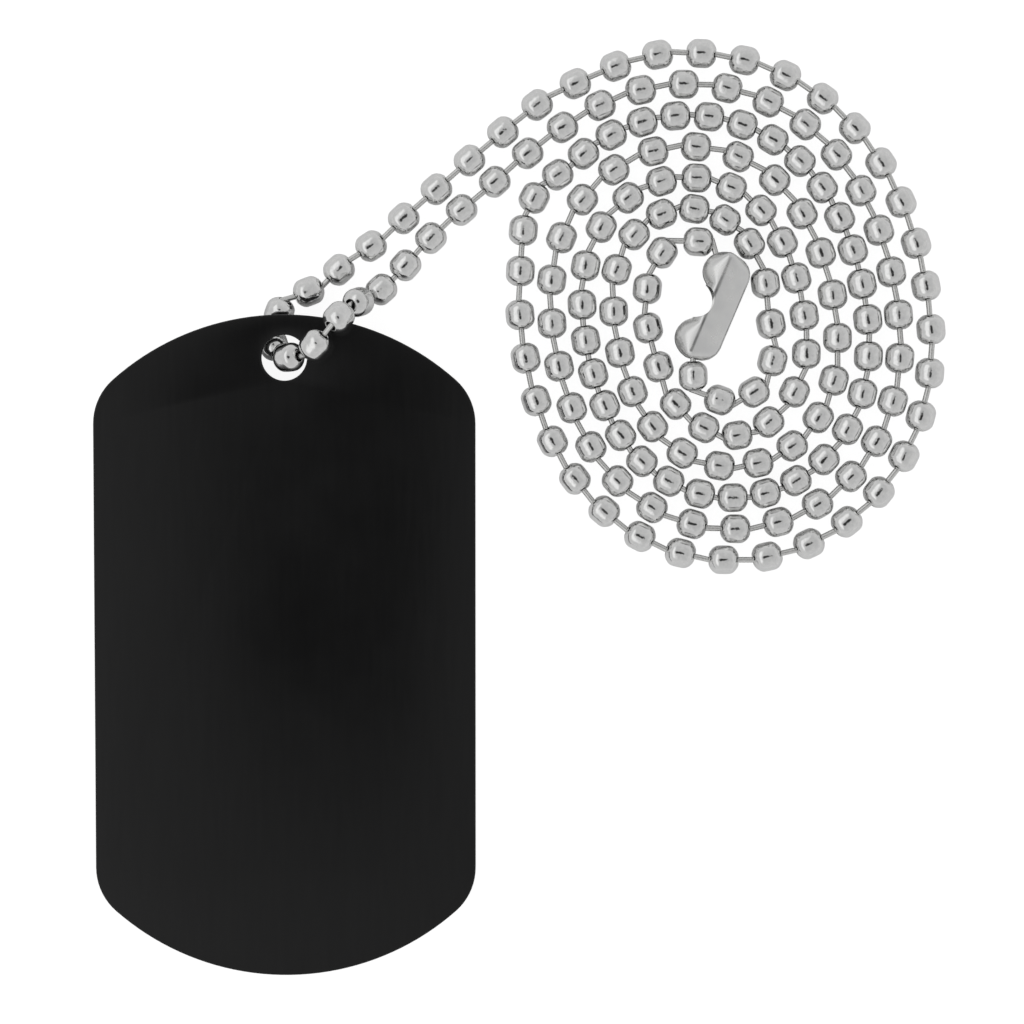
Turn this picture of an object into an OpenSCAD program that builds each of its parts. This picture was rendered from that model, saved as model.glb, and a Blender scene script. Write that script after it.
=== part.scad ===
// Identification tag on a ball chain: a thin black plate with one hole, and the
// chain that runs through the hole and lies wound in a double coil beside it.
// Both ends of the chain snap into one folded metal connector in the coil.
// Millimetres, +Z up. The plate's long side runs along Y, with its hole at +Y.
// The part lies on a surface at z = 0, and the origin is the middle of its box there.

/* [Plate] */
// Height of the plate, from the end arc by the hole to the other
plate_h = 50.8; // [46:0.1:56]
// Width of the plate
plate_w = 29.2; // [26:0.1:32]
// Thickness of the plate
plate_t = 0.8; // [0.5:0.1:1.5]
// Radius of the wide arcs that end the plate
end_arc_r = 19.7; // [18:0.1:24]
// Radius of the four corners
corner_r = 4.5; // [3:0.1:6]
// Diameter of the hole that the chain runs through
hole_d = 3.5; // [3.4:0.1:4.4]
// Distance from the top of the plate to the middle of the hole
hole_drop = 3.3; // [3:0.1:4.5]
// Clear height between the plate at its hole and the chain that it leans on
lean_gap = 0.26; // [0.2:0.02:0.5]

/* [Ball chain] */
// Diameter of a ball across the chain
ball_d = 2.23; // [2.1:0.01:2.28]
// Length of a ball along the chain
ball_l = 2.4; // [2.34:0.01:2.42]
// Thickness of a ball's wall
ball_wall = 0.2; // [0.16:0.01:0.22]
// Diameter of the hole in a ball's end
entry_d = 0.88; // [0.84:0.02:0.92]
// Diameter of the pin between two balls
pin_d = 0.44; // [0.36:0.02:0.48]
// Diameter of the head that keeps a pin in the next ball
head_d = 0.98; // [0.96:0.02:1.02]
// Thickness of that head
head_t = 0.24; // [0.16:0.02:0.28]
// Length of a pin, from its own ball's wall to the middle of its head
pin_l = 1.83; // [1.8:0.01:1.86]
// Distance between two balls where the chain is pulled out
taut_pitch = 3.36; // [3.2:0.02:3.4]
// Distance between two balls where they are pushed together
slack_pitch = 2.53; // [2.52:0.01:2.7]

/* [Coil] */
// Clear gap between balls that lie side by side
side_gap = 0.17; // [0.14:0.01:0.24]
// Half of the long side of the oval that the coil is wound round
core_long = 4.1; // [3:0.1:6]
// Half of the short side of that oval
core_short = 1.2; // [1:0.1:3]
// Bearing of the oval's long side, clockwise from +Y
core_bearing = 166; // [150:1:180]
// Distance from that oval to the outermost strand, at bearing 0
coil_reach = 16.68; // [16:0.1:20]

/* [Connector] */
// Distance between the middles of the two cups
cup_apart = 5.5; // [5:0.1:6.5]
// Clear gap between a ball and the cup round it
cup_gap = 0.12; // [0.1:0.01:0.3]
// Thickness of the folded sheet
sheet_t = 0.24; // [0.2:0.02:0.36]
// Distance from the middle of a cup to the outside of the folded spine
spine_reach = 2.16; // [2:0.02:2.3]
// Thickness of the connector at its spine
spine_t = 2.2; // [1.6:0.05:2.4]
// Radius of the bends along the spine and the ridge
spine_r = 0.45; // [0.36:0.01:0.6]
// Radius of the round corners at the spine's ends
spine_corner = 1.45; // [1.2:0.05:1.5]
// Distance of the ridge from the middle of a cup, towards the spine
ridge_off = 0.2; // [0:0.05:0.4]
// Length of the straight ridge over a cup
ridge_l = 2.2; // [1.4:0.1:2.4]
// Width of the slot that lets the pins into the cups
slot_w = 0.9; // [0.8:0.02:1]
// Distance that this slot reaches past the cups' axis, towards the spine
slot_past = 0.9; // [0.8:0.05:1]
// Radius of the notch between the cups
notch_r = 1.4; // [1.2:0.02:1.5]
// Width of the neck, from the bottom of the notch to the spine
neck_w = 1.84; // [1.6:0.02:2]

/* [Hidden] */
$fn = 48;
eps = 0.01;

ball_r = ball_d / 2;
ball_tip = ball_l / 2;
hollow_r = ball_tip - ball_wall;
// Distances from a ball's middle to the root of its pin and to the hole that it enters
root_at = hollow_r + ball_wall / 2;
entry_at = sqrt(root_at * root_at - entry_d * entry_d / 4);
lay = ball_d + side_gap;
// Balls on the floor lie this much higher, so that a tipped one's rim clears it too
tip_rise = 0.06;
floor_z = ball_r + tip_rise;
// A ball's axis follows the pin that enters it by this share, and otherwise leans
// from the step before the ball to the step after it by the other share
pin_follow = 0.85;
turn_share = 0.4;

// The plate leans on the chain beneath its hole, and its other end is on the floor
hole_y = plate_h - hole_drop;
plate_lift = ball_d + lean_gap;
plate_tilt = asin(plate_lift / hole_y);
plate_foot = hole_y * cos(plate_tilt) + plate_t * sin(plate_tilt);
// Rise from a ball on the floor to one that lies on the plate by its hole
climb = plate_lift + plate_t + side_gap;

cup_r = ball_tip + cup_gap + sheet_t;
cup_z = cup_r;

// Places below are measured in the plan from the middle of the hole.

// The first balls from the hole over the front of the plate: x and y as shares of a
// ball's length, and height as a share of the climb
THREADED = [
    [0.15, 0.00, 0.59],
    [1.02, 0.35, 1.02],
    [1.78, 1.23, 1.06],
    [2.36, 1.76, 0.53]
];
// The first balls behind the plate, as the same shares
BEHIND = [
    [-0.38, 0.43, 0.02],
    [-0.21, 1.47, 0.01]
];
// Routes from the hole to the coil: x and y
FRONT_LEAD = [[7.7, 5.6], [11.6, 9.7], [15.5, 13.1], [19.5, 16.5], [23.1, 18.9]];
BACK_LEAD = [[2.1, 5.4], [7, 9], [11.1, 12.6], [15.4, 16.3], [20.1, 20]];
// Routes from the coil to the connector's cups: x, y and lift above the floor
FRONT_END = [[35.75, 8.65, 0], [36.95, 5.5, 0], [37.3, 2.6, 0], [37.4, -0.2, 0], [36.4, -2.2, 0],
    [34.6, -3.3, 0], [32.7, -2.9, 0.05], [31.3, -1.35, 0.25]];
BACK_END = [[39.2, -2.4, 0], [37.1, -4.9, 0], [34.7, -5.9, 0], [32.1, -5.3, 0], [30, -3.55, 0], [28.65, -0.65, 0],
    [27.9, 2, 0], [27.7, 4.6, 0], [28.3, 7.2, 0], [29.7, 8.7, 0], [32, 8.85, 0.2]];

// Middle of the oval that the coil is wound round
CORE = [32.6, 2.8];
// Middle of the connector and the bearing from its lower cup to its upper
CLASP = [32.45, 4.1];
clasp_bearing = 23;

// Bearings where each strand joins the coil and leaves it
front_from = -22;
front_to = 760;
back_from = -18;
back_to = 820;
bearing_step = 10;

// Where the outer turn springs clear of the coil: bearing, spread and distance
SPRUNG = [293, 11, 0.9];

// How far the balls are pulled apart: share of the strand's length, and pull from
// 0, where they are pushed together, to 1, where the pins are pulled out
FRONT_PULL = [[0, 0.15], [0.02, 0.15], [0.05, 1], [0.68, 1], [0.72, 0.5], [0.84, 0.9],
    [0.86, 0.1], [0.898, 0], [0.903, 0.95], [0.925, 0.95], [0.93, 0.4], [0.98, 0.4], [0.99, 0.5], [1, 0.57]];
BACK_PULL = [[0, 0.3], [0.01, 0.3], [0.04, 1], [0.46, 1], [0.48, 0], [0.6, 0.2], [0.65, 0.6],
    [0.67, 0], [0.75, 0.1], [0.78, 0.9], [0.81, 0.2], [0.84, 0.5], [0.885, 0.5], [0.888, 0.95],
    [0.897, 0.95], [0.9, 0.15], [0.926, 0.15], [0.93, 0.75], [0.948, 0.75], [0.952, 0.6], [1, 0.6]];

function unit(v) = v / norm(v);
function floor_point(p, lift = 0) = [p[0], p[1], floor_z + lift];

// A place on the coil. The bearing of its outward side counts on through each turn,
// clockwise from +Y, and off is its distance from the oval core.
function coil_point(bearing, off) =
    let (turn = bearing - core_bearing,
        reach = norm([core_long * cos(turn), core_short * sin(turn)]),
        along = cos(turn) * (core_long * core_long / reach + off),
        across = sin(turn) * (core_short * core_short / reach + off))
    floor_point(CORE + [along * sin(core_bearing) + across * cos(core_bearing),
        along * cos(core_bearing) - across * sin(core_bearing)]);

// Both strands lie side by side, so each turn comes two strands further in
function wound(bearing) = coil_reach - 2 * lay * bearing / 360;
function sprung(bearing) = SPRUNG[2] * exp(-pow((bearing - SPRUNG[0]) / SPRUNG[1], 2));

function cup_place(side) =
    concat(CLASP + side * cup_apart / 2 * [sin(clasp_bearing), cos(clasp_bearing)], cup_z);

// A smooth curve through the points, as short straight steps, none below the floor
function bend(a, b, c, d, t) =
    0.5 * (2 * b + (c - a) * t + (2 * a - 5 * b + 4 * c - d) * t * t
        + (3 * b - a - 3 * c + d) * t * t * t);
function smooth(p, steps = 8) =
    let (last = len(p) - 1)
    [for (i = [0:last - 1], k = [0:steps - (i == last - 1 ? 0 : 1)])
        let (q = bend(p[max(i - 1, 0)], p[i], p[i + 1], p[min(i + 2, last)], k / steps))
        [q[0], q[1], max(q[2], floor_z)]];

// Running totals of a list
function totals(v) = [for (i = 0, sum = 0; i <= len(v); sum = sum + (i < len(v) ? v[i] : 0),
    i = i + 1) sum];

// Balls along a route, a whole number of them, at the pitch that the pull gives
function balls_along(path, pull) =
    let (steps = [for (i = [1:len(path) - 1]) norm(path[i] - path[i - 1])],
        far = totals(steps),
        length = far[len(far) - 1],
        counts = totals([for (i = [0:len(steps) - 1])
            steps[i] / (slack_pitch + (taut_pitch - slack_pitch) * lookup(far[i] / length, pull))]),
        number = round(counts[len(counts) - 1]),
        fit = counts[len(counts) - 1] / number,
        table = [for (i = [0:len(counts) - 1]) [counts[i], i]])
    [for (k = [1:number])
        let (at = min(lookup(k * fit, table), len(path) - 1 - eps),
            i = floor(at))
        path[i] + (path[i + 1] - path[i]) * (at - i)];

function by_hole(p) = floor_point([p[0] * ball_l, p[1] * ball_l], p[2] * climb);
front_start = [for (p = THREADED) by_hole(p)];
back_start = [for (p = BEHIND) by_hole(p)];
front_route = concat([front_start[len(front_start) - 1]],
    [for (p = FRONT_LEAD) floor_point(p)],
    [for (a = [front_from:bearing_step:front_to]) coil_point(a, wound(a) - lay)],
    [for (p = FRONT_END) floor_point(p, p[2])],
    [cup_place(-1)]);
back_route = concat([back_start[len(back_start) - 1]],
    [for (p = BACK_LEAD) floor_point(p)],
    [for (a = [back_from:bearing_step:back_to]) coil_point(a, wound(a) + sprung(a))],
    [for (p = BACK_END) floor_point(p, p[2])],
    [cup_place(1)]);
front_balls = concat(front_start, balls_along(smooth(front_route), FRONT_PULL));
back_balls = concat(back_start, balls_along(smooth(back_route), BACK_PULL));

// The whole chain in order, from the connector's lower cup round to its upper one
front_count = len(front_balls);
BALLS = concat([for (i = [1:front_count]) front_balls[front_count - i]], back_balls);
last_ball = len(BALLS) - 1;

// The axis of each ball, from the hole where a pin enters to the root of its own pin
function step_way(i) = unit(BALLS[i + 1] - BALLS[i]);
function next_axis(i, way) =
    let (entering = unit(BALLS[i + 1] - BALLS[i] - way * root_at),
        turned = unit(step_way(i) * (1 - turn_share)
            + step_way(min(i + 1, last_ball - 1)) * turn_share))
    unit(entering * pin_follow + turned * (1 - pin_follow));
AXES = [for (i = 0, way = step_way(0);
    i <= last_ball;
    way = i < last_ball ? next_axis(i, way) : way, i = i + 1) way];

// Root and direction of ball i's pin, which goes through the middle of the next hole
function root_of(i) = BALLS[i] + AXES[i] * root_at;
function pin_way(i) = unit(BALLS[i + 1] - AXES[i + 1] * entry_at - root_of(i));

// The middle of the box goes to the origin
all_x = [for (p = BALLS) p[0]];
all_y = [for (p = BALLS) p[1]];
mid_x = (max(all_x) + ball_r - plate_w / 2) / 2;
mid_y = (max(all_y) + ball_r - plate_foot) / 2;

module placed() {
    translate([-mid_x, -mid_y, 0]) children();
}

// Turns +Z to point along a way
module aimed(at, way) {
    translate(at)
        rotate([0, acos(way[2]), atan2(way[1], way[0])])
            children();
}

// A hollow ball with the hole that the pin before it enters
module ball_shell(i) {
    difference() {
        union() {
            aimed(BALLS[i], AXES[i]) intersection() {
                sphere(r = ball_tip);
                cylinder(r = ball_r, h = 2 * ball_l, center = true);
            }
            if (i < last_ball)
                aimed(root_of(i), pin_way(i)) cylinder(d = pin_d, h = pin_l);
        }
        aimed(BALLS[i], AXES[i]) {
            sphere(r = hollow_r);
            if (i > 0)
                translate([0, 0, -ball_l]) cylinder(d = entry_d, h = ball_l);
        }
    }
}

// One link of the chain: a ball, and the headed pin that is held in the next ball
module link(i) {
    ball_shell(i);
    if (i < last_ball)
        aimed(root_of(i), pin_way(i))
            translate([0, 0, pin_l - head_t / 2]) cylinder(d = head_d, h = head_t);
}

module front_strand() {
    color([0.78, 0.78, 0.78]) placed()
        for (i = [0:front_count - 1]) link(i);
}

module back_strand() {
    color([0.74, 0.74, 0.75]) placed()
        for (i = [front_count:last_ball]) link(i);
}

// Outline of the plate: four round corners, straight sides and two wide end arcs
module plate_outline() {
    side = plate_w / 2 - corner_r;
    arc_y = plate_h / 2 - end_arc_r;
    rise = sqrt(pow(end_arc_r - corner_r, 2) - side * side);
    reach = end_arc_r / (end_arc_r - corner_r);
    square([plate_w, 2 * (arc_y + rise)], center = true);
    for (end = [-1, 1]) {
        for (hand = [-1, 1])
            translate([hand * side, end * (arc_y + rise)]) circle(r = corner_r);
        intersection() {
            translate([0, end * arc_y]) circle(r = end_arc_r);
            polygon([[0, end * arc_y],
                [-2 * side * reach, end * (arc_y + 2 * rise * reach)],
                [2 * side * reach, end * (arc_y + 2 * rise * reach)]]);
        }
    }
}

// The plate, tilted up from its lower end so that the chain passes under its hole
module plate() {
    color([0.1, 0.1, 0.1]) placed()
        translate([0, -hole_y * cos(plate_tilt), 0])
            rotate([plate_tilt, 0, 0])
                difference() {
                    translate([0, plate_h / 2, 0])
                        linear_extrude(height = plate_t) plate_outline();
                    translate([0, hole_y, -plate_t])
                        cylinder(d = hole_d, h = 3 * plate_t);
                }
}

// Round ends of the ridge's two edges, above and below the connector's mid plane
module ridge_end(along, shrink) {
    for (z = [-1, 1])
        translate([ridge_off, along, z * (cup_r - spine_r)])
            sphere(r = spine_r - shrink, $fn = 16);
}

// Round corner of the spine, beside a cup
module spine_end(side, shrink) {
    for (z = [-1, 1])
        translate([spine_reach - spine_corner, side * cup_apart / 2, z * (spine_t / 2 - spine_r)])
            rotate_extrude()
                translate([spine_corner - spine_r, 0]) circle(r = spine_r - shrink, $fn = 16);
}

// One side of the connector, from its cup to the spine. A shrink of the sheet's
// thickness gives the hollow inside it.
module cup_form(side, shrink) {
    hull() {
        translate([0, side * cup_apart / 2, 0]) sphere(r = cup_r - shrink, $fn = 32);
        for (end = [-1, 1])
            ridge_end(side * cup_apart / 2 + end * ridge_l / 2, shrink);
        spine_end(side, shrink);
    }
}

// The neck between the cups
module neck_form(shrink) {
    hull()
        for (side = [-1, 1]) {
            ridge_end(side * cup_apart / 2, shrink);
            spine_end(side, shrink);
        }
}

// The connector lies on its side, its spine to the right of its length
module connector() {
    color([0.7, 0.7, 0.69]) placed()
        translate([CLASP[0], CLASP[1], cup_z])
            rotate([0, 0, -clasp_bearing])
                difference() {
                    union() {
                        for (side = [-1, 1]) cup_form(side, 0);
                        neck_form(0);
                    }
                    union() {
                        for (side = [-1, 1]) cup_form(side, sheet_t);
                        neck_form(sheet_t);
                    }
                    translate([spine_reach - neck_w - notch_r, 0, 0])
                        cylinder(r = notch_r, h = 3 * cup_r, center = true);
                    translate([-2 * cup_r, -cup_apart, -slot_w / 2])
                        cube([2 * cup_r + slot_past, 2 * cup_apart, slot_w]);
                }
}

plate();
front_strand();
back_strand();
connector();
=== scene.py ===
import math

import bmesh
import bpy
import numpy as np
from mathutils import Matrix, Vector


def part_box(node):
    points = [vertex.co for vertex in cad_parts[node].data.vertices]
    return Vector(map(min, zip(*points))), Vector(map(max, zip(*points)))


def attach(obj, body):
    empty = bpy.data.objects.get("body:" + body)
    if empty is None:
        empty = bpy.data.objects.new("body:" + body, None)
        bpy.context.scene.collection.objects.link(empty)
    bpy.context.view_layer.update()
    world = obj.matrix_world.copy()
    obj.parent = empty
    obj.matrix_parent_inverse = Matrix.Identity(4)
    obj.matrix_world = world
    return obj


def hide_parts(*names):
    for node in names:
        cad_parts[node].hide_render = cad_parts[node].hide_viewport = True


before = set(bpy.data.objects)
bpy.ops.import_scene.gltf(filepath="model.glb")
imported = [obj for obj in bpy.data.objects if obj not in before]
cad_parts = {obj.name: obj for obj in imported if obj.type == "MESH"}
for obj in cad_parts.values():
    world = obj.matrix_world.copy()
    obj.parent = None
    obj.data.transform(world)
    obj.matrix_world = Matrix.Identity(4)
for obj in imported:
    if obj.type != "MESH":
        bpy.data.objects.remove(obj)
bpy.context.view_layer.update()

# Sizes in millimetres, as in the part's source
MM = 0.001
PLATE_H, PLATE_W, PLATE_T = 50.8, 29.2, 0.8
END_ARC_R, CORNER_R = 19.7, 4.5
HOLE_D, HOLE_DROP, LEAN_GAP = 3.5, 3.3, 0.26
BALL_D, BALL_L, BALL_WALL = 2.23, 2.4, 0.2
ENTRY_D, PIN_D, PIN_L = 0.88, 0.44, 1.83
TAUT_PITCH, SLACK_PITCH, SIDE_GAP = 3.36, 2.53, 0.17
CORE_LONG, CORE_SHORT, CORE_BEARING, COIL_REACH = 4.1, 1.2, 166, 16.68
CUP_APART, CUP_GAP, SHEET_T = 5.5, 0.12, 0.24
SPINE_REACH, SPINE_T, SPINE_R, SPINE_CORNER = 2.16, 2.2, 0.45, 1.45
RIDGE_OFF, RIDGE_L = 0.2, 2.2
SLOT_W, SLOT_PAST, NOTCH_R, NECK_W = 0.9, 0.9, 1.4, 1.84

BALL_R, BALL_TIP = BALL_D / 2, BALL_L / 2
ROOT_AT = BALL_TIP - BALL_WALL / 2
ENTRY_AT = math.sqrt(ROOT_AT ** 2 - ENTRY_D ** 2 / 4)
LAY = BALL_D + SIDE_GAP
TIP_RISE = 0.06
FLOOR_Z = BALL_R + TIP_RISE
PIN_FOLLOW, TURN_SHARE = 0.85, 0.4
HOLE_Y = PLATE_H - HOLE_DROP
PLATE_LIFT = BALL_D + LEAN_GAP
PLATE_TILT = math.asin(PLATE_LIFT / HOLE_Y)
CLIMB = PLATE_LIFT + PLATE_T + SIDE_GAP
CUP_R = BALL_TIP + CUP_GAP + SHEET_T

# The chain's chosen places, in the plan from the middle of the hole, as in the source
THREADED = [[0.15, 0, 0.59], [1.02, 0.35, 1.02], [1.78, 1.23, 1.06], [2.36, 1.76, 0.53]]
BEHIND = [[-0.38, 0.43, 0.02], [-0.21, 1.47, 0.01]]
FRONT_LEAD = [[7.7, 5.6], [11.6, 9.7], [15.5, 13.1], [19.5, 16.5], [23.1, 18.9]]
BACK_LEAD = [[2.1, 5.4], [7, 9], [11.1, 12.6], [15.4, 16.3], [20.1, 20]]
FRONT_END = [[35.75, 8.65, 0], [36.95, 5.5, 0], [37.3, 2.6, 0], [37.4, -0.2, 0], [36.4, -2.2, 0],
             [34.6, -3.3, 0], [32.7, -2.9, 0.05], [31.3, -1.35, 0.25]]
BACK_END = [[39.2, -2.4, 0], [37.1, -4.9, 0], [34.7, -5.9, 0], [32.1, -5.3, 0], [30, -3.55, 0],
            [28.65, -0.65, 0], [27.9, 2, 0], [27.7, 4.6, 0], [28.3, 7.2, 0], [29.7, 8.7, 0],
            [32, 8.85, 0.2]]
CORE = [32.6, 2.8]
CLASP = [32.45, 4.1]
CLASP_BEARING = 23
FRONT_BEARINGS = range(-22, 761, 10)
BACK_BEARINGS = range(-18, 821, 10)
SPRUNG = [293, 11, 0.9]
FRONT_PULL = [[0, 0.15], [0.02, 0.15], [0.05, 1], [0.68, 1], [0.72, 0.5], [0.84, 0.9],
              [0.86, 0.1], [0.898, 0], [0.903, 0.95], [0.925, 0.95], [0.93, 0.4], [0.98, 0.4],
              [0.99, 0.5], [1, 0.57]]
BACK_PULL = [[0, 0.3], [0.01, 0.3], [0.04, 1], [0.46, 1], [0.48, 0], [0.6, 0.2], [0.65, 0.6],
             [0.67, 0], [0.75, 0.1], [0.78, 0.9], [0.81, 0.2], [0.84, 0.5], [0.885, 0.5],
             [0.888, 0.95], [0.897, 0.95], [0.9, 0.15], [0.926, 0.15], [0.93, 0.75],
             [0.948, 0.75], [0.952, 0.6], [1, 0.6]]


def unit(v):
    return v / np.linalg.norm(v)


def floor_point(p, lift=0):
    return np.array([p[0], p[1], FLOOR_Z + lift])


def by_hole(p):
    return floor_point([p[0] * BALL_L, p[1] * BALL_L], p[2] * CLIMB)


def coil_point(bearing, off):
    """A place on the coil. Bearings count on through each turn, clockwise from +Y."""
    turn, lean = math.radians(bearing - CORE_BEARING), math.radians(CORE_BEARING)
    reach = math.hypot(CORE_LONG * math.cos(turn), CORE_SHORT * math.sin(turn))
    along = math.cos(turn) * (CORE_LONG ** 2 / reach + off)
    across = math.sin(turn) * (CORE_SHORT ** 2 / reach + off)
    return floor_point([CORE[0] + along * math.sin(lean) + across * math.cos(lean),
                        CORE[1] + along * math.cos(lean) - across * math.sin(lean)])


def wound(bearing):
    return COIL_REACH - 2 * LAY * bearing / 360


def sprung(bearing):
    return SPRUNG[2] * math.exp(-((bearing - SPRUNG[0]) / SPRUNG[1]) ** 2)


def cup_place(side):
    lean = math.radians(CLASP_BEARING)
    reach = side * CUP_APART / 2
    return np.array([CLASP[0] + reach * math.sin(lean), CLASP[1] + reach * math.cos(lean), CUP_R])


def smooth(points, steps=8):
    """A smooth curve through the points, none of it below the floor balls."""
    last = len(points) - 1
    path = []
    for i in range(last):
        a, b, c, d = points[max(i - 1, 0)], points[i], points[i + 1], points[min(i + 2, last)]
        for k in range(steps + (i == last - 1)):
            t = k / steps
            q = 0.5 * (2 * b + (c - a) * t + (2 * a - 5 * b + 4 * c - d) * t * t
                       + (3 * b - a - 3 * c + d) * t ** 3)
            q[2] = max(q[2], FLOOR_Z)
            path.append(q)
    return np.array(path)


def balls_along(path, pull):
    """A whole number of balls along the path, at the pitch that the pull gives."""
    steps = np.linalg.norm(np.diff(path, axis=0), axis=1)
    far = np.concatenate([[0], np.cumsum(steps)])
    shares, pulls = zip(*pull)
    pitch = SLACK_PITCH + (TAUT_PITCH - SLACK_PITCH) * np.interp(far[:-1] / far[-1], shares, pulls)
    counts = np.concatenate([[0], np.cumsum(steps / pitch)])
    number = round(counts[-1])
    at = np.interp(np.arange(1, number + 1) * counts[-1] / number, counts, np.arange(len(path)))
    at = np.minimum(at, len(path) - 1 - 1e-6)
    i = at.astype(int)
    return list(path[i] + (path[i + 1] - path[i]) * (at - i)[:, None])


def chain_places():
    """Each ball's middle, from the lower cup to the upper one, and the front strand's count."""
    front = [by_hole(p) for p in THREADED]
    back = [by_hole(p) for p in BEHIND]
    front_route = [front[-1]] + [floor_point(p) for p in FRONT_LEAD]
    front_route += [coil_point(a, wound(a) - LAY) for a in FRONT_BEARINGS]
    front_route += [floor_point(p, p[2]) for p in FRONT_END] + [cup_place(-1)]
    back_route = [back[-1]] + [floor_point(p) for p in BACK_LEAD]
    back_route += [coil_point(a, wound(a) + sprung(a)) for a in BACK_BEARINGS]
    back_route += [floor_point(p, p[2]) for p in BACK_END] + [cup_place(1)]
    front += balls_along(smooth(front_route), FRONT_PULL)
    back += balls_along(smooth(back_route), BACK_PULL)
    return np.array(front[::-1] + back), len(front)


def chain_axes(balls):
    """Each ball's axis mostly follows the pin that enters it, as in the source."""
    ways = [unit(b - a) for a, b in zip(balls, balls[1:])]
    axes = [ways[0]]
    for i in range(len(ways)):
        entering = unit(balls[i + 1] - balls[i] - axes[i] * ROOT_AT)
        turned = unit(ways[i] * (1 - TURN_SHARE) + ways[min(i + 1, len(ways) - 1)] * TURN_SHARE)
        axes.append(unit(entering * PIN_FOLLOW + turned * (1 - PIN_FOLLOW)))
    return np.array(axes)


BALLS, FRONT_COUNT = chain_places()
AXES = chain_axes(BALLS)
PLATE_FOOT = HOLE_Y * math.cos(PLATE_TILT) + PLATE_T * math.sin(PLATE_TILT)
MIDDLE = np.array([(BALLS[:, 0].max() + BALL_R - PLATE_W / 2) / 2,
                   (BALLS[:, 1].max() + BALL_R - PLATE_FOOT) / 2, 0])


# How far off in mm the chain's box may be from the frame's before the script stops
CHAIN_TOLERANCE = 0.8


def check_chain(node, first, last):
    """Stops the script where this chain isn't where the frame's is."""
    low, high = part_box(node)
    places = BALLS[first:last] - MIDDLE
    off = [places[:, k].min() - BALL_R - low[k] / MM for k in (0, 1)]
    off += [places[:, k].max() + BALL_R - high[k] / MM for k in (0, 1)]
    if max(map(abs, off)) > CHAIN_TOLERANCE:
        raise RuntimeError(f"{node} is off by {off} mm: the chain's places differ from the source")


# Materials. A noise's values lie mostly between these two.
NOISE_LOW, NOISE_HIGH = 0.3, 0.7


def new_material(name, metallic=0):
    made = bpy.data.materials.new(name)
    made.use_nodes = True
    nodes, links = made.node_tree.nodes, made.node_tree.links
    shader = nodes["Principled BSDF"]
    shader.inputs["Metallic"].default_value = metallic
    return made, nodes, links, shader


def noise(nodes, links, scale, stretch=(1, 1, 1), detail=4):
    """A noise texture in the frame's own metres."""
    place = nodes.new("ShaderNodeTexCoord")
    mapping = nodes.new("ShaderNodeMapping")
    mapping.inputs["Scale"].default_value = stretch
    texture = nodes.new("ShaderNodeTexNoise")
    texture.inputs["Scale"].default_value = scale
    texture.inputs["Detail"].default_value = detail
    links.new(place.outputs["Object"], mapping.inputs["Vector"])
    links.new(mapping.outputs["Vector"], texture.inputs["Vector"])
    return texture.outputs["Fac"]


def ranged(nodes, links, value, low, high):
    """A noise's value turned into one from low to high."""
    node = nodes.new("ShaderNodeMapRange")
    links.new(value, node.inputs["Value"])
    node.inputs["From Min"].default_value = NOISE_LOW
    node.inputs["From Max"].default_value = NOISE_HIGH
    node.inputs["To Min"].default_value = low
    node.inputs["To Max"].default_value = high
    return node.outputs["Result"]


def tinted(nodes, links, value, dark, light):
    """A noise's value turned into a colour from dark to light."""
    ramp = nodes.new("ShaderNodeValToRGB")
    links.new(value, ramp.inputs["Fac"])
    ramp.color_ramp.elements[0].position = NOISE_LOW
    ramp.color_ramp.elements[0].color = (*dark, 1)
    ramp.color_ramp.elements[1].position = NOISE_HIGH
    ramp.color_ramp.elements[1].color = (*light, 1)
    return ramp.outputs["Color"]


def bumped(nodes, links, height, depth, strength):
    bump = nodes.new("ShaderNodeBump")
    bump.inputs["Strength"].default_value = strength
    bump.inputs["Distance"].default_value = depth
    links.new(height, bump.inputs["Height"])
    return bump.outputs["Normal"]


def bead_metal():
    """Bright nickel with the small waves and rubbed spots of stamped balls."""
    made, nodes, links, shader = new_material("bead_nickel", metallic=1)
    waves = noise(nodes, links, 1100, detail=3)
    rub = noise(nodes, links, 3200, detail=5)
    links.new(tinted(nodes, links, rub, (0.74, 0.74, 0.74), (0.83, 0.83, 0.82)),
              shader.inputs["Base Color"])
    links.new(ranged(nodes, links, rub, 0.05, 0.13), shader.inputs["Roughness"])
    links.new(bumped(nodes, links, waves, depth=0.00007, strength=0.7), shader.inputs["Normal"])
    return made


def bead_inside():
    """The dull inside of a ball, which shows round its pins, painted near black as the shade in its
    wells.
    """
    made, nodes, links, shader = new_material("bead_inside", metallic=1)
    painted_shade_grain = noise(nodes, links, 4000)
    # painted shade: a near-black base colour, with random grain, stands in for the shadow inside
    # the wells
    links.new(tinted(nodes, links, painted_shade_grain, (0.03, 0.03, 0.03), (0.08, 0.08, 0.08)),
              shader.inputs["Base Color"])
    shader.inputs["Roughness"].default_value = 0.6
    return made


def pin_metal():
    """Drawn wire, a little duller than the balls."""
    made, nodes, links, shader = new_material("pin_wire", metallic=1)
    drawn = noise(nodes, links, 5000)
    links.new(tinted(nodes, links, drawn, (0.62, 0.62, 0.61), (0.72, 0.72, 0.71)),
              shader.inputs["Base Color"])
    links.new(ranged(nodes, links, drawn, 0.2, 0.32), shader.inputs["Roughness"])
    return made


def sheet_metal():
    """Satin nickel on the folded sheet, with faint rolling lines and rubbed spots."""
    made, nodes, links, shader = new_material("connector_nickel", metallic=1)
    rub = noise(nodes, links, 700, detail=6)
    lines = noise(nodes, links, 1500, stretch=(1, 0.12, 1), detail=3)
    links.new(tinted(nodes, links, rub, (0.7, 0.7, 0.7), (0.78, 0.78, 0.77)),
              shader.inputs["Base Color"])
    links.new(ranged(nodes, links, rub, 0.18, 0.3), shader.inputs["Roughness"])
    links.new(bumped(nodes, links, lines, depth=0.00001, strength=0.5), shader.inputs["Normal"])
    return made


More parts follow.
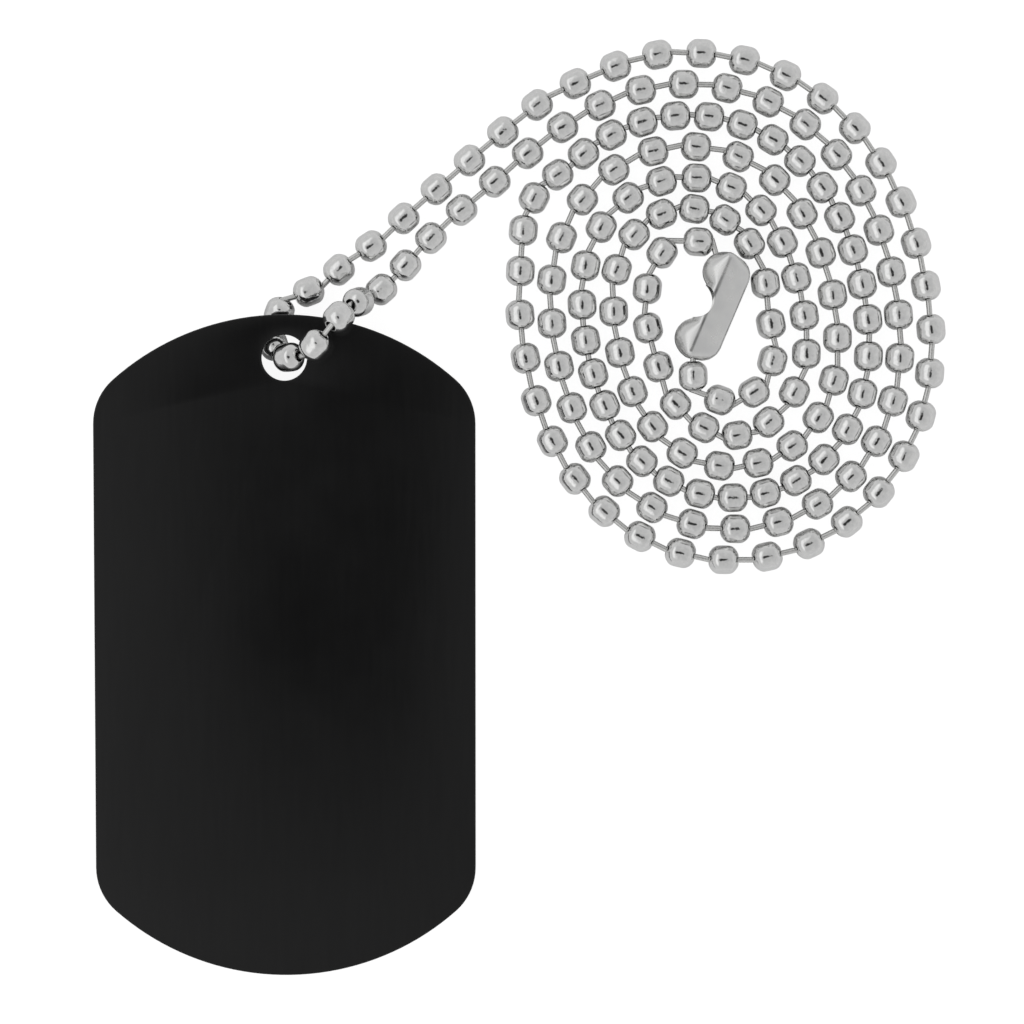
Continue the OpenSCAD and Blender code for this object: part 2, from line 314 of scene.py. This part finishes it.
def anodised():
    """Matte black with the fine marks of brushing along the plate."""
    made, nodes, links, shader = new_material("tag_black")
    brushed = noise(nodes, links, 2600, stretch=(1, 0.06, 1), detail=6)
    cloud = noise(nodes, links, 160, detail=3)
    links.new(tinted(nodes, links, brushed, (0.0046, 0.0046, 0.0048), (0.0062, 0.0062, 0.0063)),
              shader.inputs["Base Color"])
    links.new(ranged(nodes, links, cloud, 0.19, 0.25), shader.inputs["Roughness"])
    links.new(bumped(nodes, links, brushed, depth=0.00001, strength=0.35), shader.inputs["Normal"])
    shader.inputs["Specular IOR Level"].default_value = 0.26
    return made


# Mesh building


def linked(name, data):
    """A new object with this data, in the scene."""
    made = bpy.data.objects.new(name, data)
    bpy.context.scene.collection.objects.link(made)
    return made


def finished(mesh, metal, crease):
    """One material, smooth but for the edges sharper than the crease in degrees."""
    mesh.materials.clear()
    mesh.materials.append(metal)
    mesh.shade_smooth()
    mesh.set_sharp_from_angle(angle=math.radians(crease))


def new_object(name, vertices, faces, materials, face_materials=None, crease=None):
    mesh = bpy.data.meshes.new(name)
    mesh.from_pydata([tuple(v) for v in vertices], [], [tuple(f) for f in faces])
    for m in materials:
        mesh.materials.append(m)
    if face_materials is not None:
        mesh.polygons.foreach_set("material_index", face_materials)
    mesh.validate()
    mesh.shade_smooth()
    if crease:
        mesh.set_sharp_from_angle(angle=math.radians(crease))
    mesh.update()
    return linked(name, mesh)


def lathe(profile, sides):
    """Vertices and faces of (radius, height) pairs turned round +Z; ends at radius 0 close."""
    vertices, rings = [], []
    for radius, height in profile:
        if radius == 0:
            rings.append([len(vertices)])
            vertices.append((0, 0, height))
            continue
        rings.append(list(range(len(vertices), len(vertices) + sides)))
        turns = np.arange(sides) * 2 * math.pi / sides
        vertices += [(radius * math.cos(a), radius * math.sin(a), height) for a in turns]
    faces = []
    for low, high in zip(rings, rings[1:]):
        for k in range(sides):
            n = (k + 1) % sides
            if len(low) == 1:
                faces.append((low[0], high[n], high[k]))
            elif len(high) == 1:
                faces.append((low[k], low[n], high[0]))
            else:
                faces.append((low[k], low[n], high[n], high[k]))
    return np.array(vertices), faces


def aimed(vertices, at, way, roll=0.0):
    """The vertices with +Z turned to the way, rolled round it and moved there."""
    turn = Vector((0, 0, 1)).rotation_difference(Vector(way)).to_matrix()
    turn = turn @ Matrix.Rotation(roll, 3, "Z")
    return vertices @ np.array(turn).T + np.array(at)


# A ball: a full sphere with flattened sides between two rolled holes, whose lips' turns are in
# degrees
HOLE_R, LIP_R, LIP_TURNS = 0.4, 0.05, (35, 90)
LIP_DEPTH, WELL_DEPTH = 0.16, 0.34
FULLNESS, SIDE_BLEND = 2.14, 26
SIDE_HEIGHTS = (0, 0.2, 0.34, 0.44, 0.52, 0.6, 0.7, 0.82, 0.94, 1.04, 1.1)
# A pin starts this far inside its own ball and ends this far short of its head, in the next one
PIN_SUNK, PIN_SHORT = 0.3, 0.5
BALL_SIDES, PIN_SIDES, BALL_CREASE, ROLL_SEED = 28, 12, 50, 7
OUTSIDE, INSIDE, PIN = 0, 1, 2


def full_sphere(along):
    """Reach across the axis at a place along it, or the other way round."""
    return (BALL_TIP ** FULLNESS - along ** FULLNESS) ** (1 / FULLNESS)


def side_radius(height):
    """The smaller of the full sphere's radius and the side's, with a soft step between them."""
    return (full_sphere(height) ** -SIDE_BLEND + BALL_R ** -SIDE_BLEND) ** (-1 / SIDE_BLEND)


def ball_profile():
    """(radius, height) pairs from entry to exit, and how many steps at each end are wells."""
    end = full_sphere(HOLE_R + LIP_R)
    half = [(side_radius(z), z) for z in SIDE_HEIGHTS + (end,)]
    lip = [(HOLE_R + LIP_R * (1 - math.sin(a)), end - LIP_R * (1 - math.cos(a)))
           for a in map(math.radians, LIP_TURNS)]
    well = [(HOLE_R, end - LIP_DEPTH), (HOLE_R, end - WELL_DEPTH), (0, end - WELL_DEPTH)]
    top = half + lip + well
    bottom = [(r, -z) for r, z in reversed(top[1:])]
    return bottom + top, len(well) - 1


def chain_piece(name, first, last, metals):
    """One strand: every ball with its two wells, and the pin to the next ball."""
    profile, well_steps = ball_profile()
    ball, ball_faces = lathe(profile, BALL_SIDES)
    well_faces = well_steps * BALL_SIDES
    ball_kinds = np.full(len(ball_faces), OUTSIDE)
    ball_kinds[:well_faces] = ball_kinds[-well_faces:] = INSIDE
    pin, pin_faces = lathe([(PIN_D / 2, -PIN_SUNK), (PIN_D / 2, PIN_L - PIN_SHORT)], PIN_SIDES)
    pin_kinds = np.full(len(pin_faces), PIN)
    rolls = np.random.default_rng(ROLL_SEED).uniform(0, 2 * math.pi, len(BALLS))
    vertices, faces, kinds = [], [], []

    def add(placed, placed_faces, placed_kinds):
        start = sum(map(len, vertices))
        vertices.append(placed)
        faces.extend(tuple(v + start for v in face) for face in placed_faces)
        kinds.append(placed_kinds)

    for i in range(first, last):
        add(aimed(ball, BALLS[i] - MIDDLE, AXES[i], rolls[i]), ball_faces, ball_kinds)
        if i + 1 < len(BALLS):
            root = BALLS[i] + AXES[i] * ROOT_AT
            way = unit(BALLS[i + 1] - AXES[i + 1] * ENTRY_AT - root)
            add(aimed(pin, root - MIDDLE, way), pin_faces, pin_kinds)
    return new_object(name, np.concatenate(vertices) * MM, faces, metals, np.concatenate(kinds),
                      BALL_CREASE)


def outline(inset, steps=10):
    """Points round the plate, moved in by the inset, counterclockwise from the right side."""
    corner_x = PLATE_W / 2 - CORNER_R
    arc_y = PLATE_H / 2 - END_ARC_R
    rise = math.sqrt((END_ARC_R - CORNER_R) ** 2 - corner_x ** 2)
    corner_y = arc_y + rise
    lean = math.atan2(rise, corner_x)
    corner = [(corner_x + (CORNER_R - inset) * math.cos(a),
               corner_y + (CORNER_R - inset) * math.sin(a)) for a in np.linspace(0, lean, steps)]
    arc = [((END_ARC_R - inset) * math.cos(a), arc_y + (END_ARC_R - inset) * math.sin(a))
           for a in np.linspace(lean, math.pi - lean, 4 * steps)[1:-1]]
    top = corner + arc + [(-x, y) for x, y in reversed(corner)]
    return top + [(-x, -y) for x, y in top]


EDGE_R, EDGE_TURNS, TAG_CREASE = 0.12, (0, 22.5, 45, 67.5, 90), 40
HOLE_SIDES = 64


def edge_steps():
    """(inset, height) pairs up the plate's edge, with both corners rounded."""
    bends = [math.radians(a) for a in EDGE_TURNS]
    low = [(EDGE_R * (1 - math.sin(a)), EDGE_R * (1 - math.cos(a))) for a in bends]
    high = [(inset, PLATE_T - z) for inset, z in reversed(low)]
    return low + high


def tag_piece(metal):
    """The plate, with rounded edges round its outline and its hole."""
    rings, vertices, faces = [], [], []
    hole_at = PLATE_H / 2 - HOLE_DROP
    turns = np.arange(HOLE_SIDES) * 2 * math.pi / HOLE_SIDES
    for inset, z in edge_steps():
        points = outline(inset)
        rings.append((len(vertices), len(points)))
        vertices += [(x, y, z) for x, y in points]
    for inset, z in edge_steps():
        rings.append((len(vertices), HOLE_SIDES))
        radius = HOLE_D / 2 + inset
        vertices += [(radius * math.cos(a), hole_at + radius * math.sin(a), z) for a in turns]
    levels = len(rings) // 2
    for group, flip in ((rings[:levels], False), (rings[levels:], True)):
        for (low, n), (high, _) in zip(group, group[1:]):
            for k in range(n):
                m = (k + 1) % n
                face = (low + k, low + m, high + m, high + k)
                faces.append(face[::-1] if flip else face)
    shape = bmesh.new()
    points = [shape.verts.new(v) for v in vertices]
    for face in faces:
        shape.faces.new([points[k] for k in face])
    for level in (0, levels - 1):
        loops = []
        for start, n in (rings[level], rings[levels + level]):
            for k in range(n):
                pair = (points[start + k], points[start + (k + 1) % n])
                loops.append(shape.edges.get(pair) or shape.edges.new(pair))
        bmesh.ops.triangle_fill(shape, edges=loops, use_beauty=True)
    bmesh.ops.recalc_face_normals(shape, faces=shape.faces)
    to_place = Matrix.Translation(Vector((0, -HOLE_Y * math.cos(PLATE_TILT), 0)) - Vector(MIDDLE))
    shape.transform(to_place @ Matrix.Rotation(PLATE_TILT, 4, "X")
                    @ Matrix.Translation(Vector((0, PLATE_H / 2, 0))))
    shape.transform(Matrix.Scale(MM, 4))
    mesh = bpy.data.meshes.new("tag")
    shape.to_mesh(mesh)
    shape.free()
    finished(mesh, metal, TAG_CREASE)
    return linked("tag", mesh)


# The connector. Its domes reach this share of the height of the ridge beside them, and the ridge's
# flat top is this wide.
DOME_FLAT, RIDGE_TOP = 0.965, 0.14
DOME_SIDES, RIDGE_SIDES, CORNER_SIDES, CORNER_STEPS, NOTCH_SIDES = 72, 32, 16, 48, 64
CLASP_CREASE = 28


def sphere_points(middle, radius, sides):
    points = []
    for k in range(sides // 2 + 1):
        polar = math.pi * k / (sides // 2)
        for n in range(sides if 0 < k < sides // 2 else 1):
            turn = 2 * math.pi * n / sides
            points.append((middle[0] + radius * math.sin(polar) * math.cos(turn),
                           middle[1] + radius * math.sin(polar) * math.sin(turn),
                           middle[2] + radius * math.cos(polar)))
    return points


def hull_object(name, points):
    shape = bmesh.new()
    for p in points:
        shape.verts.new(p)
    made = bmesh.ops.convex_hull(shape, input=shape.verts)
    loose = [v for v in made["geom_interior"] + made["geom_unused"]
             if isinstance(v, bmesh.types.BMVert)]
    bmesh.ops.delete(shape, geom=list(set(loose)), context="VERTS")
    bmesh.ops.recalc_face_normals(shape, faces=shape.faces)
    mesh = bpy.data.meshes.new(name)
    shape.to_mesh(mesh)
    shape.free()
    return linked(name, mesh)


def ridge_end(along, shrink):
    """Points of the rounded ridge, above and below, at a place along the connector."""
    points = []
    for z in (-1, 1):
        for x in (RIDGE_OFF - RIDGE_TOP, RIDGE_OFF):
            middle = (x, along, z * (CUP_R - SPINE_R))
            points += sphere_points(middle, SPINE_R - shrink, RIDGE_SIDES)
    return points


def spine_end(side, shrink):
    """Points of the spine's round corner beside a cup."""
    points = []
    for z in (-1, 1):
        for turn in np.arange(CORNER_STEPS) * 2 * math.pi / CORNER_STEPS:
            reach = SPINE_CORNER - SPINE_R
            middle = (SPINE_REACH - SPINE_CORNER + reach * math.cos(turn),
                      side * CUP_APART / 2 + reach * math.sin(turn), z * (SPINE_T / 2 - SPINE_R))
            points += sphere_points(middle, SPINE_R - shrink, CORNER_SIDES)
    return points


def cup_hull(side, shrink):
    dome = sphere_points((0, side * CUP_APART / 2, 0), CUP_R - shrink, DOME_SIDES)
    points = [(x, y, z * DOME_FLAT) for x, y, z in dome]
    for end in (-1, 1):
        points += ridge_end(side * CUP_APART / 2 + end * RIDGE_L / 2, shrink)
    return hull_object("cup", points + spine_end(side, shrink))


def neck_hull(shrink):
    points = []
    for side in (-1, 1):
        points += ridge_end(side * CUP_APART / 2, shrink) + spine_end(side, shrink)
    return hull_object("neck", points)


def combine(target, tool, operation):
    """Applies one boolean step to the target and takes the tool away."""
    step = target.modifiers.new("step", "BOOLEAN")
    step.operation = operation
    step.solver = "EXACT"
    step.object = tool
    graph = bpy.context.evaluated_depsgraph_get()
    mesh = bpy.data.meshes.new_from_object(target.evaluated_get(graph))
    target.modifiers.clear()
    target.data = mesh
    bpy.data.objects.remove(tool)


def notch_cutter():
    reach = 3 * CUP_R
    profile = [(0, -reach), (NOTCH_R, -reach), (NOTCH_R, reach), (0, reach)]
    points, faces = lathe(profile, NOTCH_SIDES)
    points = points + np.array([SPINE_REACH - NECK_W - NOTCH_R, 0, 0])
    return new_object("notch", points, faces, [])


def slot_cutter():
    corners = [(x, y, z) for x in (-2 * CUP_R, SLOT_PAST) for y in (-CUP_APART, CUP_APART)
               for z in (-SLOT_W / 2, SLOT_W / 2)]
    return hull_object("slot", corners)


def connector_piece(metal):
    """The folded connector: its outer form less its hollow, its notch and the slot for the pins."""
    made = cup_hull(1, 0)
    combine(made, cup_hull(-1, 0), "UNION")
    combine(made, neck_hull(0), "UNION")
    for hollow in (cup_hull(1, SHEET_T), cup_hull(-1, SHEET_T), neck_hull(SHEET_T)):
        combine(made, hollow, "DIFFERENCE")
    combine(made, notch_cutter(), "DIFFERENCE")
    combine(made, slot_cutter(), "DIFFERENCE")
    made.name = "clasp"
    place = Vector((CLASP[0], CLASP[1], CUP_R)) - Vector(MIDDLE)
    turn = Matrix.Rotation(-math.radians(CLASP_BEARING), 4, "Z")
    made.data.transform(Matrix.Translation(place) @ turn)
    made.data.transform(Matrix.Scale(MM, 4))
    finished(made.data, metal, CLASP_CREASE)
    return made


def put(piece, node):
    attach(piece, "root")
    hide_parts(node)


# Camera: straight down over the photograph's middle. It frames this width at this height, in mm.
CAMERA_X, CAMERA_Y, CAMERA_HEIGHT = 17.39, -11.80, 250
FRAMED_WIDTH, FRAMED_AT = 78.47, 2
SENSOR, CLIP_START = 36, 0.005
camera_data = bpy.data.cameras.new("camera")
camera_data.sensor_width = SENSOR
camera_data.lens = SENSOR * (CAMERA_HEIGHT - FRAMED_AT) / FRAMED_WIDTH
camera_data.clip_start = CLIP_START
camera = linked("camera", camera_data)
camera.location = [(CAMERA_X - MIDDLE[0]) * MM, (CAMERA_Y - MIDDLE[1]) * MM, CAMERA_HEIGHT * MM]
bpy.context.scene.camera = camera
bpy.context.scene.view_settings.view_transform = "Standard"

# Pieces
check_chain("front_strand", 0, FRONT_COUNT)
check_chain("back_strand", FRONT_COUNT, len(BALLS))
metals = [bead_metal(), bead_inside(), pin_metal()]
put(chain_piece("front_beads", 0, FRONT_COUNT, metals), "front_strand")
put(chain_piece("back_beads", FRONT_COUNT, len(BALLS), metals), "back_strand")
put(tag_piece(anodised()), "plate")
put(connector_piece(sheet_metal()), "connector")


# Floor and light. Heights and half the floor's width are in metres.
FLOOR_HALF, FLOOR_HEIGHT, MIRRORED_HEIGHT = 0.5, -0.00006, -0.00003
GRAIN_STEP = 0.02


def floor_piece(name, height, grey, glow):
    paper, nodes, links, shader = new_material(name + "_paper")
    grain = noise(nodes, links, 900)
    links.new(tinted(nodes, links, grain, (grey,) * 3, (grey + GRAIN_STEP,) * 3),
              shader.inputs["Base Color"])
    shader.inputs["Roughness"].default_value = 0.9
    shader.inputs["Specular IOR Level"].default_value = 0.1
    shader.inputs["Emission Color"].default_value = (1, 1, 1, 1)
    shader.inputs["Emission Strength"].default_value = glow
    corners = [(x * FLOOR_HALF, y * FLOOR_HALF, height)
               for x, y in ((-1, -1), (1, -1), (1, 1), (-1, 1))]
    made = new_object(name, corners, [(0, 1, 2, 3)], [paper])
    return made


# Brightness of the studio by the cosine of the angle from straight up, with a dark lens there. A
# curved soft light hangs at the left: its share by that cosine, and by how far the way leans right.
SKY_STOPS = [(-1, 0.8), (0, 0.7), (0.2, 0.66), (0.5, 0.64), (0.982, 0.56), (0.992, 0.03),
             (1, 0.03)]
SOFT_LIGHT_STOPS = [(0.5, 0), (0.68, 0.4), (0.9, 0.4), (0.955, 0)]
LEFT_STOPS = [(-0.35, 1), (-0.1, 0)]
# The mix node's sockets for colours, which share their names with those for numbers
MIX_ONE, MIX_OTHER, MIX_RESULT = 6, 7, 2


def ramp_of(nodes, links, value, stops):
    """Grey by a value from -1 to 1."""
    shift = nodes.new("ShaderNodeMapRange")
    shift.inputs["From Min"].default_value = -1
    links.new(value, shift.inputs["Value"])
    ramp = nodes.new("ShaderNodeValToRGB")
    links.new(shift.outputs["Result"], ramp.inputs["Fac"])
    elements = ramp.color_ramp.elements
    for k, (at, grey) in enumerate(stops):
        if k > 1:
            elements.new(1)
        elements[k].position = (at + 1) / 2
        elements[k].color = (grey, grey, grey, 1)
    return ramp.outputs["Color"]


def mixed(nodes, links, how, one, other):
    mix = nodes.new("ShaderNodeMix")
    mix.data_type = "RGBA"
    mix.blend_type = how
    mix.inputs["Factor"].default_value = 1
    links.new(one, mix.inputs[MIX_ONE])
    links.new(other, mix.inputs[MIX_OTHER])
    return mix.outputs[MIX_RESULT]


def sky():
    """A pale studio dome with a dark lens straight above and a soft light at the left."""
    world = bpy.data.worlds.new("studio")
    bpy.context.scene.world = world
    world.use_nodes = True
    nodes, links = world.node_tree.nodes, world.node_tree.links
    place = nodes.new("ShaderNodeTexCoord")
    parts = nodes.new("ShaderNodeSeparateXYZ")
    links.new(place.outputs["Generated"], parts.inputs["Vector"])
    up = parts.outputs["Z"]
    soft = mixed(nodes, links, "MULTIPLY", ramp_of(nodes, links, up, SOFT_LIGHT_STOPS),
                 ramp_of(nodes, links, parts.outputs["X"], LEFT_STOPS))
    light = mixed(nodes, links, "ADD", ramp_of(nodes, links, up, SKY_STOPS), soft)
    links.new(light, nodes["Background"].inputs["Color"])


# A pale floor, and just above it the one that the metal reflects, which keeps its shadows
floor = floor_piece("floor", FLOOR_HEIGHT, grey=0.3, glow=0.9)
floor.visible_glossy = False
mirrored = floor_piece("mirrored_floor", MIRRORED_HEIGHT, grey=0.9, glow=0.06)
mirrored.visible_camera = mirrored.visible_diffuse = mirrored.visible_shadow = False
sky()
